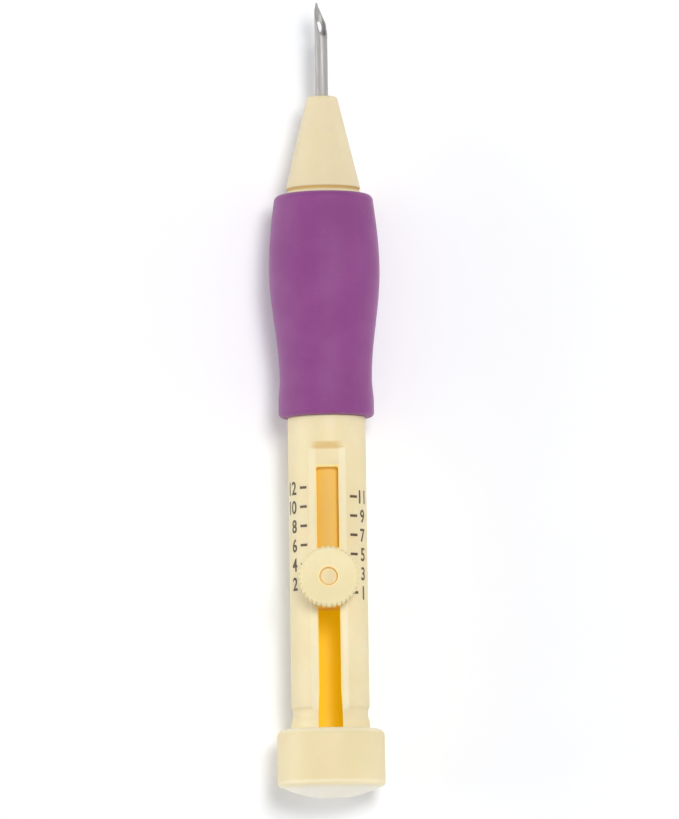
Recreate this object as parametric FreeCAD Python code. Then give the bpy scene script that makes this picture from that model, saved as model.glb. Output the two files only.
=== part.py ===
"""Adjustable punch needle for loop embroidery.

A hollow steel needle stands out of a cream plastic handle. Its holder slides in the handle's
bore, pushed back by a coil spring, and a stud on the holder passes through a long slot to a
knurled clamp knob. Turning the knob tight sets how far the needle reaches. Yarn runs in
through the end cap, up the holder and the needle, out at the bevelled tip and back through
the eye.

The pen lies on its grip and its end cap with the knob upward. Y runs along its axis towards
the needle point, Z is up and X is to the right, in millimetres. Every piece is first drawn
round the Y axis with the end cap's tip at y = 0, then all are set down together.
"""

import FreeCAD
import Part
import math
import os

V = FreeCAD.Vector
ORIGIN = V(0, 0, 0)
AXIS = V(0, 1, 0)
UP = V(0, 0, 1)

# Needle: a steel tube, ground to a point over an open throat
needle_r = 1.19
needle_wall = 0.26
needle_reach = 18.1
needle_seat_depth = 9.0
tip_slice_length = 1.7
tip_slice_depth = 0.87
tip_grind_length = 4.3
throat_length = 7.2
throat_depth = 0.4
bevel_turn = 41.0
eye_from_tip = 4.7
eye_length = 2.1
eye_width = 1.0
eye_turn = 16.0

# Nose cone: guides the needle and takes the spring's thrust
nose_length = 18.7
nose_collar_length = 0.9
nose_base_step = 0.32
nose_tip_wall = 1.54
nose_tip_round = 0.7
nose_plug_length = 6.0
nose_plug_wall = 1.0
spring_seat_depth = 9.4
guide_clearance = 0.12

# Grip: a soft sleeve with a bulge for the fingers, a waist and a lip
grip_length = 42.1
grip_face_width = 0.4
grip_mouth_swell = 2.06
grip_bulge_swell = 3.11
grip_waist_swell = 1.37
grip_lip_swell = 1.66
grip_bulge_at = 28.0
grip_bulge_land = 8.0
grip_waist_at = 7.2
grip_waist_land = 2.4
grip_lip_at = 2.5
grip_mouth_round = 1.5
grip_lip_round = 0.8
grip_step = 0.4

# Barrel: a tube with a slot and a flat for the clamp along its top
barrel_wall = 2.2
barrel_exposed = 58.7
neck_depth = 0.3
neck_width = 1.0
neck_rise = 2.4
neck_slope = 0.8
slot_to_grip = 9.8
slot_flare = 0.25
slot_flare_length = 4.5
flat_depth = 0.8
flat_past_slot = 3.6
flat_ramp = 1.05

# End cap: a thick cup pushed over the barrel's end
cap_height = 13.0
cap_wall = 2.72
cap_dome = 2.2
cap_floor = 3.6
cap_rim_round = 1.5
cap_base_round = 0.8
cap_clearance = 0.06
yarn_hole_r = 2.0
yarn_hole_round = 0.4

# Needle holder: slides in the barrel and carries the stud
holder_r = 5.0
holder_clearance = 0.12
holder_tail = 5.4
holder_front = 37.0
holder_bore_r = 2.45
holder_edge_chamfer = 0.8
holder_funnel = 4.0
step_one_r = 3.1
step_one_length = 12.2
step_two_r = 2.6
step_two_length = 3.8
step_three_r = 1.95
step_three_length = 7.0

# Stud and clamp
stud_r = 1.9
stud_clearance = 0.15
thread_r = 1.65
thread_clearance = 0.06
washer_thickness = 0.4
washer_length = 5.6
washer_flange = 1.4
washer_clearance = 0.05
knob_r = 5.65
knob_height = 4.6
knob_boss_r = 3.95
knob_boss_height = 0.5
knob_face_chamfer = 0.45
knob_recess = 0.9
knurl_count = 36
knurl_depth = 0.3

# Spring: round wire, wide round the holder and narrow round the needle
wire_r = 0.22
spring_clearance = 0.15
spring_open_turns = 10
spring_cone_turns = 3
spring_closed_turns = 1.25
spring_cone_pitch = 2.3
spring_points_per_turn = 8
wire_sides = 4

# Depth scale: where its first mark is, and where the clamp is set
mark_one_from_cap = 25.3
mark_pitch = 1.8
clamp_setting = 2.5

# Steps in a rounded edge and in the longer curves
round_steps = 1
dome_steps = 2
swell_steps = 1
fall_steps = 2
lip_steps = 1

# Places along the axis, from the end cap's tip
cap_top = cap_height
barrel_start = cap_floor
grip_start = cap_top + barrel_exposed
grip_end = grip_start + grip_length
nose_end = grip_end + nose_length
needle_tip = nose_end + needle_reach
slot_end = grip_start - slot_to_grip
flat_end = slot_end + flat_past_slot
neck_at = cap_top + neck_rise
stud_at = cap_top + mark_one_from_cap + (clamp_setting - 1) * mark_pitch
holder_start = stud_at - holder_tail
shoulder_at = stud_at + holder_front
step_one_end = shoulder_at + step_one_length
step_two_end = step_one_end + step_two_length
holder_end = step_two_end + step_three_length
needle_start = holder_end - needle_seat_depth
spring_seat = nose_end - spring_seat_depth

# Sizes that follow from what fits in what
bore_r = holder_r + holder_clearance
barrel_r = bore_r + barrel_wall
seat_r = barrel_r - grip_step
socket_r = barrel_r + cap_clearance
cap_r = socket_r + cap_wall
grip_bulge_r = barrel_r + grip_bulge_swell
slot_half = stud_r + stud_clearance
flat_z = barrel_r - flat_depth
flat_half = math.sqrt(barrel_r ** 2 - flat_z ** 2)
needle_bore_r = needle_r - needle_wall
guide_r = needle_r + guide_clearance
nose_base_r = barrel_r - nose_base_step
nose_tip_r = guide_r + nose_tip_wall
washer_low = flat_z + washer_clearance
washer_top = washer_low + washer_thickness
knob_base = washer_top + knob_boss_height
knob_top = knob_base + knob_height
stud_top = knob_top - knob_recess
rest_height = max(grip_bulge_r, cap_r)
PLACE = V(0, -needle_tip / 2, rest_height)


def turned(*points):
    """Solid of revolution round the pen's axis from a closed outline of (radius, y) points."""
    spots = [V(r, y, 0) for r, y in points]
    return Part.Face(Part.makePolygon(spots + spots[:1])).revolve(ORIGIN, AXIS, 360)


def prism_across(points, half_width):
    """Prism along X from a closed outline of (y, z) points, centred on the pen."""
    spots = [V(-half_width, y, z) for y, z in points]
    return Part.Face(Part.makePolygon(spots + spots[:1])).extrude(V(2 * half_width, 0, 0))


def prism_up(points, low, high):
    """Prism along Z from a closed outline of (x, y) points."""
    spots = [V(x, y, low) for x, y in points]
    return Part.Face(Part.makePolygon(spots + spots[:1])).extrude(V(0, 0, high - low))


def prism_along(points, start, end):
    """Prism along the pen from a closed outline of (x, z) points."""
    spots = [V(x, start, z) for x, z in points]
    return Part.Face(Part.makePolygon(spots + spots[:1])).extrude(V(0, end - start, 0))


def rounded(centre, across, along, first, last):
    """Points of a rounded edge about a centre, from one angle in degrees to another."""
    spots = []
    for step in range(round_steps + 1):
        turn = math.radians(first + (last - first) * step / round_steps)
        spots.append((centre[0] + across * math.cos(turn), centre[1] + along * math.sin(turn)))
    return spots


def eased(start, end, steps):
    """Points of an S curve between two (radius, y) points, level at both, without the first."""
    spots = []
    for step in range(1, steps + 1):
        share = step / steps
        rise = (1 - math.cos(math.pi * share)) / 2
        r = start[0] + (end[0] - start[0]) * rise
        spots.append((r, start[1] + (end[1] - start[1]) * share))
    return spots


def swelling(start, end, steps):
    """Points of a quarter wave that leaves one (radius, y) point and levels off at another."""
    spots = []
    for step in range(1, steps + 1):
        share = step / steps
        r = start[0] + (end[0] - start[0]) * math.sin(math.pi * share / 2)
        spots.append((r, start[1] + (end[1] - start[1]) * share))
    return spots


def make_barrel():
    """Tube with a neck above the cap, a step under the grip, the slot and the clamp's flat."""
    neck_r = barrel_r - neck_depth
    neck_end = neck_at + neck_width
    tube = turned(
        (bore_r, barrel_start),
        (barrel_r, barrel_start),
        (barrel_r, neck_at - neck_slope),
        (neck_r, neck_at),
        (neck_r, neck_end),
        (barrel_r, neck_end + neck_depth),
        (barrel_r, grip_start),
        (seat_r, grip_start),
        (seat_r, grip_end),
        (bore_r, grip_end),
    )
    over = 2 * barrel_r
    flare_start = neck_at + slot_flare_length
    mouth = slot_half + slot_flare
    slot = prism_up(
        [
            (-slot_half, slot_end),
            (-slot_half, flare_start),
            (-mouth, neck_at),
            (-mouth, 0),
            (mouth, 0),
            (mouth, neck_at),
            (slot_half, flare_start),
            (slot_half, slot_end),
        ],
        0,
        over,
    )
    flat = prism_across(
        [
            (neck_at, flat_z),
            (flat_end, flat_z),
            (flat_end + flat_ramp, barrel_r),
            (flat_end + flat_ramp, over),
            (neck_at, over),
        ],
        over,
    )
    return tube.cut(slot).cut(flat)


def make_end_cap():
    """Domed cup with a socket for the barrel and a hole for the yarn."""
    edge_r = cap_r - cap_base_round
    hole_edge_r = yarn_hole_r + yarn_hole_round
    dome_sphere = (edge_r ** 2 + cap_dome ** 2) / (2 * cap_dome)
    dome = []
    for step in range(dome_steps):
        r = hole_edge_r + (edge_r - hole_edge_r) * step / dome_steps
        dome.append((r, dome_sphere - math.sqrt(dome_sphere ** 2 - r ** 2)))
    base_at = cap_dome + cap_base_round
    rim_at = cap_top - cap_rim_round
    return turned(
        *dome,
        *rounded((edge_r, base_at), cap_base_round, cap_base_round, -90, 0),
        *rounded((cap_r - cap_rim_round, rim_at), cap_rim_round, cap_rim_round, 0, 90),
        (socket_r, cap_top),
        (socket_r, cap_floor),
        (yarn_hole_r, cap_floor),
        (yarn_hole_r, dome[0][1] + yarn_hole_round),
    )


def make_nose_cone():
    """Hollow cone with a plug that fits the barrel's bore and a floor for the spring."""
    cone_start = grip_end + nose_collar_length
    fall = (nose_base_r - nose_tip_r) / (nose_end - cone_start)
    lean = math.degrees(math.atan(fall))
    tip_inset = nose_tip_round * math.tan(math.radians((90 - lean) / 2))
    tip_centre = (nose_tip_r - tip_inset, nose_end - nose_tip_round)
    inner_r = bore_r - nose_plug_wall
    plug_start = grip_end - nose_plug_length
    return turned(
        (bore_r, plug_start),
        (bore_r, grip_end),
        (nose_base_r, grip_end),
        (nose_base_r, cone_start),
        *rounded(tip_centre, nose_tip_round, nose_tip_round, lean, 90),
        (guide_r, nose_end),
        (guide_r, spring_seat),
        (inner_r, spring_seat),
        (inner_r, plug_start),
    )


def make_grip():
    """Soft sleeve: a rounded mouth, the finger bulge, the waist and a rolled lip."""
    face_r = seat_r + grip_face_width
    lip_r = barrel_r + grip_lip_swell
    mouth = (barrel_r + grip_mouth_swell, grip_end - grip_mouth_round)
    bulge_low = (grip_bulge_r, grip_start + grip_bulge_at - grip_bulge_land / 2)
    bulge_high = (grip_bulge_r, bulge_low[1] + grip_bulge_land)
    waist_r = barrel_r + grip_waist_swell
    waist_low = (waist_r, grip_start + grip_waist_at - grip_waist_land / 2)
    waist_high = (waist_r, waist_low[1] + grip_waist_land)
    lip = (lip_r, grip_start + grip_lip_at)
    lip_centre = (lip_r - grip_lip_round, grip_start + grip_lip_round)
    mouth_centre = (face_r, mouth[1])
    mouth_across = mouth[0] - face_r
    return turned(
        *rounded(mouth_centre, mouth_across, grip_mouth_round, 90, 0),
        *swelling(mouth, bulge_high, swell_steps),
        bulge_low,
        *eased(bulge_low, waist_high, fall_steps),
        waist_low,
        *eased(waist_low, lip, lip_steps),
        *rounded(lip_centre, grip_lip_round, grip_lip_round, 0, -90),
        (seat_r, grip_start),
        (seat_r, grip_end),
    )


def make_needle():
    """Steel tube with a ground point, an open throat and the eye in its back wall."""
    tube = turned(
        (needle_bore_r, needle_start),
        (needle_r, needle_start),
        (needle_r, needle_tip),
        (needle_bore_r, needle_tip),
    )
    over = 2 * needle_r
    grind = prism_across(
        [
            (needle_tip, -needle_r),
            (needle_tip - tip_slice_length, -tip_slice_depth),
            (needle_tip - tip_grind_length, needle_r - throat_depth),
            (needle_tip - throat_length, needle_r),
            (needle_tip - throat_length, over),
            (needle_tip + over, over),
            (needle_tip + over, -needle_r),
        ],
        over,
    )
    grind.rotate(ORIGIN, AXIS, bevel_turn)
    half = eye_width / 2
    reach = (eye_length - eye_width) / 2
    eye_at = needle_tip - eye_from_tip
    eye = Part.makeBox(eye_width, 2 * reach, over, V(-half, eye_at - reach, -over))
    for side in (-reach, reach):
        eye = eye.fuse(Part.makeCylinder(half, over, V(0, eye_at + side, -over), UP))
    eye = eye.removeSplitter()
    eye.rotate(ORIGIN, AXIS, eye_turn)
    return tube.cut(grind).cut(eye)


def make_holder():
    """Sliding tube with a stepped nose for the needle, a funnel bore and the clamp's stud."""
    edge_r = holder_r - holder_edge_chamfer
    body = turned(
        (edge_r, holder_start),
        (holder_r, holder_start + holder_edge_chamfer),
        (holder_r, shoulder_at - holder_edge_chamfer),
        (edge_r, shoulder_at),
        (step_one_r, shoulder_at),
        (step_one_r, step_one_end),
        (step_two_r, step_one_end),
        (step_two_r, step_two_end),
        (step_three_r, step_two_end),
        (step_three_r, holder_end),
        (needle_r, holder_end),
        (needle_r, needle_start),
        (needle_bore_r, needle_start),
        (holder_bore_r, needle_start - holder_funnel),
        (holder_bore_r, holder_start),
    )
    passage = Part.makeCylinder(holder_bore_r, holder_front, V(0, holder_start, 0), AXIS)
    post = Part.makeCylinder(stud_r, flat_z, V(0, stud_at, 0), UP)
    thread = Part.makeCylinder(thread_r, stud_top - flat_z, V(0, stud_at, flat_z), UP)
    return body.fuse(post.cut(passage)).fuse(thread).removeSplitter()


def make_washer():
    """Saddle washer: a web on the barrel's flat and two flanges bent down its sides."""
    bend = math.asin(flat_half / barrel_r)
    outer_x = flat_half + washer_flange * math.cos(bend)
    drop = washer_flange * math.sin(bend)
    near = stud_at - washer_length / 2
    plate = prism_along(
        [
            (-outer_x, washer_low - drop),
            (-flat_half, washer_low),
            (flat_half, washer_low),
            (outer_x, washer_low - drop),
            (outer_x, washer_top - drop),
            (flat_half, washer_top),
            (-flat_half, washer_top),
            (-outer_x, washer_top - drop),
        ],
        near,
        near + washer_length,
    )
    return plate.cut(Part.makeCylinder(slot_half, 2 * barrel_r, V(0, stud_at, 0), UP))


def make_knob():
    """Thumb nut with a knurled rim, a chamfered face and a boss that bears on the washer."""
    hole_r = thread_r + thread_clearance
    outline = [
        (hole_r, washer_top),
        (knob_boss_r, washer_top),
        (knob_boss_r, knob_base),
        (knob_r, knob_base),
        (knob_r, knob_top - knob_face_chamfer),
        (knob_r - knob_face_chamfer, knob_top),
        (hole_r, knob_top),
    ]
    spots = [V(r, 0, z) for r, z in outline]
    body = Part.Face(Part.makePolygon(spots + spots[:1])).revolve(ORIGIN, UP, 360)
    groove_half = 2 * math.pi * knob_r / knurl_count
    groove = prism_up(
        [
            (knob_r + knurl_depth, -groove_half),
            (knob_r - knurl_depth, 0),
            (knob_r + knurl_depth, groove_half),
        ],
        knob_base,
        knob_top,
    )
    grooves = []
    for number in range(knurl_count):
        one = groove.copy()
        one.rotate(ORIGIN, UP, 360 * number / knurl_count)
        grooves.append(one)
    body = body.cut(Part.makeCompound(grooves))
    body.translate(V(0, stud_at, 0))
    return body


def spring_spots():
    """Angle, place and radius along the spring's line, from the shoulder to the nose's floor."""
    chord = math.cos(math.pi / spring_points_per_turn)
    wide = (step_one_r + spring_clearance + wire_r) / chord
    narrow = (needle_r + spring_clearance + wire_r) / chord
    start = shoulder_at + wire_r
    end = spring_seat - wire_r
    closed_rise = spring_closed_turns * 2.1 * wire_r
    cone_rise = spring_cone_turns * spring_cone_pitch
    open_rise = end - start - 2 * closed_rise - cone_rise
    stretches = [
        (spring_closed_turns, closed_rise, wide),
        (spring_open_turns, open_rise, wide),
        (spring_cone_turns, cone_rise, narrow),
        (spring_closed_turns, closed_rise, narrow),
    ]
    angle, y, radius = 0.0, start, wide
    spots = [(angle, y, radius)]
    for turns, rise, next_radius in stretches:
        count = round(turns * spring_points_per_turn)
        for step in range(1, count + 1):
            share = step / count
            r = radius + (next_radius - radius) * share
            spots.append((angle + 2 * math.pi * turns * share, y + rise * share, r))
        angle, y, radius = spots[-1]
    return spots


def make_spring():
    """Wire of a few flat sides, lofted through sections square to the coil."""
    sections = []
    for angle, y, radius in spring_spots():
        outward = V(math.sin(angle), 0, math.cos(angle))
        corners = []
        for side in range(wire_sides):
            turn = 2 * math.pi * side / wire_sides
            reach = radius + wire_r * math.cos(turn)
            corners.append(outward * reach + AXIS * (y + wire_r * math.sin(turn)))
        sections.append(Part.makePolygon(corners + corners[:1]))
    return Part.makeLoft(sections, True, True)


def main():
    """Builds every piece, sets it down and writes it to its own file."""
    pieces = {
        "barrel": make_barrel(),
        "end_cap": make_end_cap(),
        "nose_cone": make_nose_cone(),
        "grip_sleeve": make_grip(),
        "needle": make_needle(),
        "needle_holder": make_holder(),
        "clamp_washer": make_washer(),
        "clamp_knob": make_knob(),
        "spring": make_spring(),
    }
    os.makedirs("parts", exist_ok=True)
    for name, shape in pieces.items():
        shape.translate(PLACE)
        shape.exportStep(f"parts/{name}.step")


main()
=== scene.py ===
"""Dresses the adjustable punch needle: smooth shapes, finishes, studio and camera.

Each sub-assembly of the pen is a class that holds its sizes in millimetres and models its
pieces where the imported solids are. Y runs along the pen towards the needle point, Z is up and
X is to the right. Places along the pen are given from the end cap's tip, as on the drawing.
"""

from __future__ import annotations

import logging
import math
from dataclasses import dataclass
from enum import Enum
from typing import Iterable

import bmesh
import bpy
from mathutils import Matrix, Vector

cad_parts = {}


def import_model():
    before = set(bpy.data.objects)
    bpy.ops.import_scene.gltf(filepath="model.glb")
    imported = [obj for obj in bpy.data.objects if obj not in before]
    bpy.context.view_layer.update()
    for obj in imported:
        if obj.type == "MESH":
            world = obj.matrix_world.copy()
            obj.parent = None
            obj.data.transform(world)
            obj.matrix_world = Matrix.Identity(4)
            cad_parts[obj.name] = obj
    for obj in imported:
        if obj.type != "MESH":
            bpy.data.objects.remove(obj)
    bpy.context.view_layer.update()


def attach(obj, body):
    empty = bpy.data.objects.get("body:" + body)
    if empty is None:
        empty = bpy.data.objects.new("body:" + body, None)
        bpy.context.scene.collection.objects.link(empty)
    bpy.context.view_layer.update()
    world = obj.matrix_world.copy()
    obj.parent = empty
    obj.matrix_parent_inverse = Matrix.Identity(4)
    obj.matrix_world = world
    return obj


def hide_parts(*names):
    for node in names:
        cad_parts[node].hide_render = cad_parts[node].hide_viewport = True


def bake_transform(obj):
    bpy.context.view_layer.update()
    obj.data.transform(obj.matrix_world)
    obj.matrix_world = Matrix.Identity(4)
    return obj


log = logging.getLogger("punch_needle")

MM = 0.001
PEN_HALF = 75.3
AXIS_HEIGHT = 10.43
STUD_AT = 41.0
COLUMNS = 128
WELD = 1e-6

Point = tuple[float, float]
Outline = list[Point]
Triple = tuple[float, float, float]


class Axis(Enum):
    """The line that a turned piece is turned about."""

    PEN = "along the pen"
    KNOB = "up through the clamp"

    def spot(self, place: float) -> Vector:
        """Returns the point of the axis at a place along it, in metres.

        Args:
            place: millimetres from the cap's tip, or millimetres above the pen's axis.

        Returns:
            The point in the row frame.
        """
        if self is Axis.PEN:
            return Vector((0.0, place - PEN_HALF, AXIS_HEIGHT)) * MM
        return Vector((0.0, STUD_AT - PEN_HALF, place + AXIS_HEIGHT)) * MM


class Column(Enum):
    """The side of the slot that a column of the scale is printed on."""

    LEFT = -1
    RIGHT = 1


class Rise(Enum):
    """How the radius changes along a stretch of an outline."""

    EVEN = "straight from end to end"
    EASED = "level at both ends"
    SWELLING = "level at the far end"

    def share(self, done: float) -> float:
        """Spreads the change over the stretch.

        Args:
            done: share of the way done.

        Returns:
            The share of the change made there.
        """
        if self is Rise.EASED:
            return (1 - math.cos(math.pi * done)) / 2
        return math.sin(math.pi * done / 2) if self is Rise.SWELLING else done


# ---------------------------------------------------------------------------
# Modelling
# ---------------------------------------------------------------------------


def clear_selection() -> None:
    """Leaves edit mode and deselects every object."""
    if bpy.context.object and bpy.context.object.mode != "OBJECT":
        bpy.ops.object.mode_set(mode="OBJECT")
    bpy.ops.object.select_all(action="DESELECT")


def take(piece: bpy.types.Object) -> None:
    """Selects one piece alone and makes it the active one.

    Args:
        piece: the piece to work on.
    """
    clear_selection()
    piece.select_set(True)
    bpy.context.view_layer.objects.active = piece


def placed(
    name: str,
    place: Vector | Triple = (0.0, 0.0, 0.0),
    size: Triple = (1.0, 1.0, 1.0),
    turn: Triple = (0.0, 0.0, 0.0),
) -> bpy.types.Object:
    """Names the object just added and moves its place, size and turn into its mesh.

    Args:
        name: the piece's name.
        place: where it goes, in metres.
        size: its scale along X, Y and Z.
        turn: its turn about X, Y and Z.

    Returns:
        The piece.
    """
    piece = bpy.context.object
    piece.name = name
    piece.location, piece.scale, piece.rotation_euler = place, size, turn
    take(piece)
    bpy.ops.object.transform_apply(location=True, rotation=True, scale=True)
    return piece


def edit(action: str = "SELECT", kind: str = "VERT") -> None:
    """Edits the active piece.

    Args:
        action: SELECT for all of it, DESELECT for none.
        kind: VERT, EDGE or FACE.
    """
    bpy.ops.object.mode_set(mode="EDIT")
    bpy.ops.mesh.select_mode(type=kind)
    bpy.ops.mesh.select_all(action=action)


def close_up() -> None:
    """Welds the edited piece, turns its normals outwards and leaves edit mode."""
    bpy.ops.mesh.select_all(action="SELECT")
    bpy.ops.mesh.remove_doubles(threshold=WELD)
    bpy.ops.mesh.normals_make_consistent(inside=False)
    bpy.ops.object.mode_set(mode="OBJECT")


def arc(
    centre: Point, across: float, along: float, first: float, last: float, steps: int = 6
) -> Outline:
    """Returns the points of a rounded edge.

    Args:
        centre: radius and place of the centre.
        across: size of the rounding across the axis.
        along: size of the rounding along the axis.
        first: starting angle in degrees.
        last: closing angle in degrees.
        steps: number of steps between the two.

    Returns:
        Points as radius and place.
    """
    turns = [math.radians(first + (last - first) * step / steps) for step in range(steps + 1)]
    return [
        (centre[0] + across * math.cos(turn), centre[1] + along * math.sin(turn))
        for turn in turns
    ]


def stretch(start: Point, end: Point, steps: int, rise: Rise = Rise.EVEN) -> Outline:
    """Returns the points from one place to another, without the first.

    Args:
        start: radius and place where it starts.
        end: radius and place where it ends.
        steps: number of steps.
        rise: how the radius changes.

    Returns:
        Points as radius and place.
    """
    shares = [step / steps for step in range(1, steps + 1)]
    return [
        (start[0] + (end[0] - start[0]) * rise.share(done), start[1] + (end[1] - start[1]) * done)
        for done in shares
    ]


def turned(
    name: str, outline: Outline, axis: Axis = Axis.PEN, columns: int = COLUMNS
) -> bpy.types.Object:
    """Draws a ring out along an axis, ring by ring, into a closed turned wall.

    Args:
        name: the piece's name.
        outline: closed outline as radius and place in millimetres, first point not repeated.
        axis: the line that it is turned about.
        columns: number of vertices in each ring.

    Returns:
        The new piece, with its normals outwards.
    """
    clear_selection()
    radius, place = outline[0]
    bpy.ops.mesh.primitive_circle_add(vertices=columns, radius=radius * MM)
    lying = (math.pi / 2 if axis is Axis.PEN else 0.0, 0.0, 0.0)
    piece = placed(name, axis.spot(place), turn=lying)
    edit()
    for next_radius, next_place in outline[1:] + outline[:1]:
        middle = axis.spot(next_place)
        grow = next_radius / radius
        size = (grow, 1.0, grow) if axis is Axis.PEN else (grow, grow, 1.0)
        move = middle - axis.spot(place)
        bpy.ops.mesh.extrude_region_move(TRANSFORM_OT_translate={"value": move})
        bpy.ops.transform.resize(value=size, center_override=middle)
        radius, place = next_radius, next_place
    close_up()
    return piece


def run_through(
    name: str, sections: Iterable[tuple[float, float, float, float]], turn: float = 0.0
) -> bpy.types.Object:
    """Draws a rectangle along the pen through sections of changing size, as a cutter.

    Args:
        name: the cutter's name.
        sections: place, half width, low edge and high edge of each, in millimetres.
        turn: turn about the pen's axis in degrees, from the top to the right.

    Returns:
        The closed cutter.
    """
    clear_selection()
    bpy.ops.mesh.primitive_plane_add(size=MM)
    placed(name, turn=(math.pi / 2, 0.0, 0.0))
    edit()
    at, half, low, high = 0.0, 0.5, -0.5, 0.5
    for number, (next_at, next_half, next_low, next_high) in enumerate(sections):
        if number:
            bpy.ops.mesh.extrude_region_move(TRANSFORM_OT_translate={"value": (0, 0, 0)})
        size = (next_half / half, 1.0, (next_high - next_low) / (high - low))
        middle = Vector((0.0, at, (low + high) / 2)) * MM
        move = Vector((0.0, next_at - at, (next_low + next_high) / 2 - (low + high) / 2)) * MM
        bpy.ops.transform.resize(value=size, center_override=middle)
        bpy.ops.transform.translate(value=move)
        at, half, low, high = next_at, next_half, next_low, next_high
    close_up()
    return placed(name, Axis.PEN.spot(0.0), turn=(0.0, math.radians(turn), 0.0))


def modify(piece: bpy.types.Object, kind: str, **settings: object) -> None:
    """Gives a piece one modifier and applies it.

    Args:
        piece: the piece to change.
        kind: the modifier's type.
        **settings: properties of the modifier.
    """
    take(piece)
    step = piece.modifiers.new(kind.lower(), kind)
    for key, value in settings.items():
        setattr(step, key, value)
    bpy.ops.object.modifier_apply(modifier=step.name)


def carve(
    piece: bpy.types.Object, cutter: bpy.types.Object, operation: str = "DIFFERENCE"
) -> None:
    """Cuts a piece with another mesh, or joins the two by UNION, and removes the other."""
    modify(piece, "BOOLEAN", operation=operation, object=cutter, solver="EXACT")
    bpy.data.objects.remove(cutter, do_unlink=True)


def soften(piece: bpy.types.Object, width: float, angle: float) -> None:
    """Rounds a piece's edges that are sharper than an angle, by a width in millimetres."""
    sharp = {"limit_method": "ANGLE", "angle_limit": math.radians(angle)}
    modify(piece, "BEVEL", width=width * MM, segments=2, use_clamp_overlap=True, **sharp)


def smooth(piece: bpy.types.Object, angle: float = 40) -> None:
    """Shades a piece smooth except across edges sharper than an angle in degrees."""
    take(piece)
    bpy.ops.object.shade_smooth_by_angle(angle=math.radians(angle))


def coat(piece: bpy.types.Object, finish: bpy.types.Material, slot: str, *nodes: str) -> None:
    """Gives a finished piece its looks, hides the solids that it stands for and logs its face
    count.

    Args:
        piece: the piece, with its mesh finished.
        finish: its material.
        slot: not used.
        *nodes: the solids that it stands for.
    """
    piece.data.materials.clear()
    piece.data.materials.append(finish)
    if nodes:
        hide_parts(*nodes)
    log.info("%s: %d faces", piece.name, len(piece.data.polygons))


def dress(
    piece: bpy.types.Object, finish: bpy.types.Material, body: str, slot: str, *nodes: str
) -> None:
    """Puts a finished piece on its body and coats it.

    Args:
        piece: the piece, with its mesh finished.
        finish: its material.
        body: the body that it rides on.
        slot: passed on to coat, which does not use it.
        *nodes: the solids that it stands for.
    """
    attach(piece, body)
    coat(piece, finish, slot, *nodes)


# ---------------------------------------------------------------------------
# Finishes
# ---------------------------------------------------------------------------


def tone(red: int, green: int, blue: int) -> Triple:
    """Turns a display colour into a linear one.

    Args:
        red: 0 to 255.
        green: 0 to 255.
        blue: 0 to 255.

    Returns:
        The linear colour.
    """
    shares = [value / 255 for value in (red, green, blue)]
    return tuple(
        share / 12.92 if share <= 0.04045 else ((share + 0.055) / 1.055) ** 2.4
        for share in shares
    )


class Wiring:
    """Adds nodes to one node tree and links them."""

    def __init__(self, tree: bpy.types.NodeTree) -> None:
        """Keeps the tree that the nodes go into."""
        self.tree = tree

    def feed(self, socket: bpy.types.NodeSocket, value: object) -> None:
        """Links an output to an input, or sets the input's value.

        Args:
            socket: the input.
            value: an output, or a value.
        """
        if isinstance(value, bpy.types.NodeSocket):
            self.tree.links.new(value, socket)
        else:
            socket.default_value = value

    def add(self, kind: str, values: dict | None = None, **settings: object) -> bpy.types.Node:
        """Adds one node.

        Args:
            kind: the node's type, without the word ShaderNode.
            values: outputs or values for its inputs, by name or number.
            **settings: properties of the node itself.

        Returns:
            The node.
        """
        node = self.tree.nodes.new(kind if kind.startswith("Node") else "ShaderNode" + kind)
        for key, value in settings.items():
            setattr(node, key, value)
        for key, value in (values or {}).items():
            self.feed(node.inputs[key], value)
        return node

    def math(self, operation: str, *values: object) -> bpy.types.NodeSocket:
        """Adds a math node for outputs or numbers and returns its output."""
        return self.add("Math", dict(enumerate(values)), operation=operation).outputs[0]

    def mix(self, *parts: object, share: object) -> bpy.types.NodeSocket:
        """Adds a colour mix.

        Args:
            *parts: two outputs or colours.
            share: how much of the second, as output or number.

        Returns:
            The mixed colour's output.
        """
        first, second = (
            part if isinstance(part, bpy.types.NodeSocket) else (*part, 1.0) for part in parts
        )
        return self.add("Mix", {0: share, 6: first, 7: second}, data_type="RGBA").outputs[2]

    def spread(self, *values: object) -> bpy.types.NodeSocket:
        """Maps a value smoothly from two limits to two results and returns the output."""
        steps = dict(enumerate(values))
        return self.add("MapRange", steps, interpolation_type="SMOOTHSTEP").outputs[0]


def new_group(
    name: str, inputs: dict[str, float | None], outputs: Iterable[str]
) -> tuple[Wiring, bpy.types.NodeOutputs, bpy.types.Node]:
    """Starts a shared node group.

    Args:
        name: the group's name.
        inputs: usual values of its inputs, with None for a vector.
        outputs: names of the numbers that it gives.

    Returns:
        Its wiring, what it is given and its closing node.
    """
    tree = bpy.data.node_groups.new(name, "ShaderNodeTree")
    for label, value in inputs.items():
        kind = "NodeSocketVector" if value is None else "NodeSocketFloat"
        socket = tree.interface.new_socket(label, in_out="INPUT", socket_type=kind)
        if value is not None:
            socket.default_value = value
    for label in outputs:
        tree.interface.new_socket(label, in_out="OUTPUT", socket_type="NodeSocketFloat")
    wires = Wiring(tree)
    return wires, wires.add("NodeGroupInput").outputs, wires.add("NodeGroupOutput")


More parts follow.
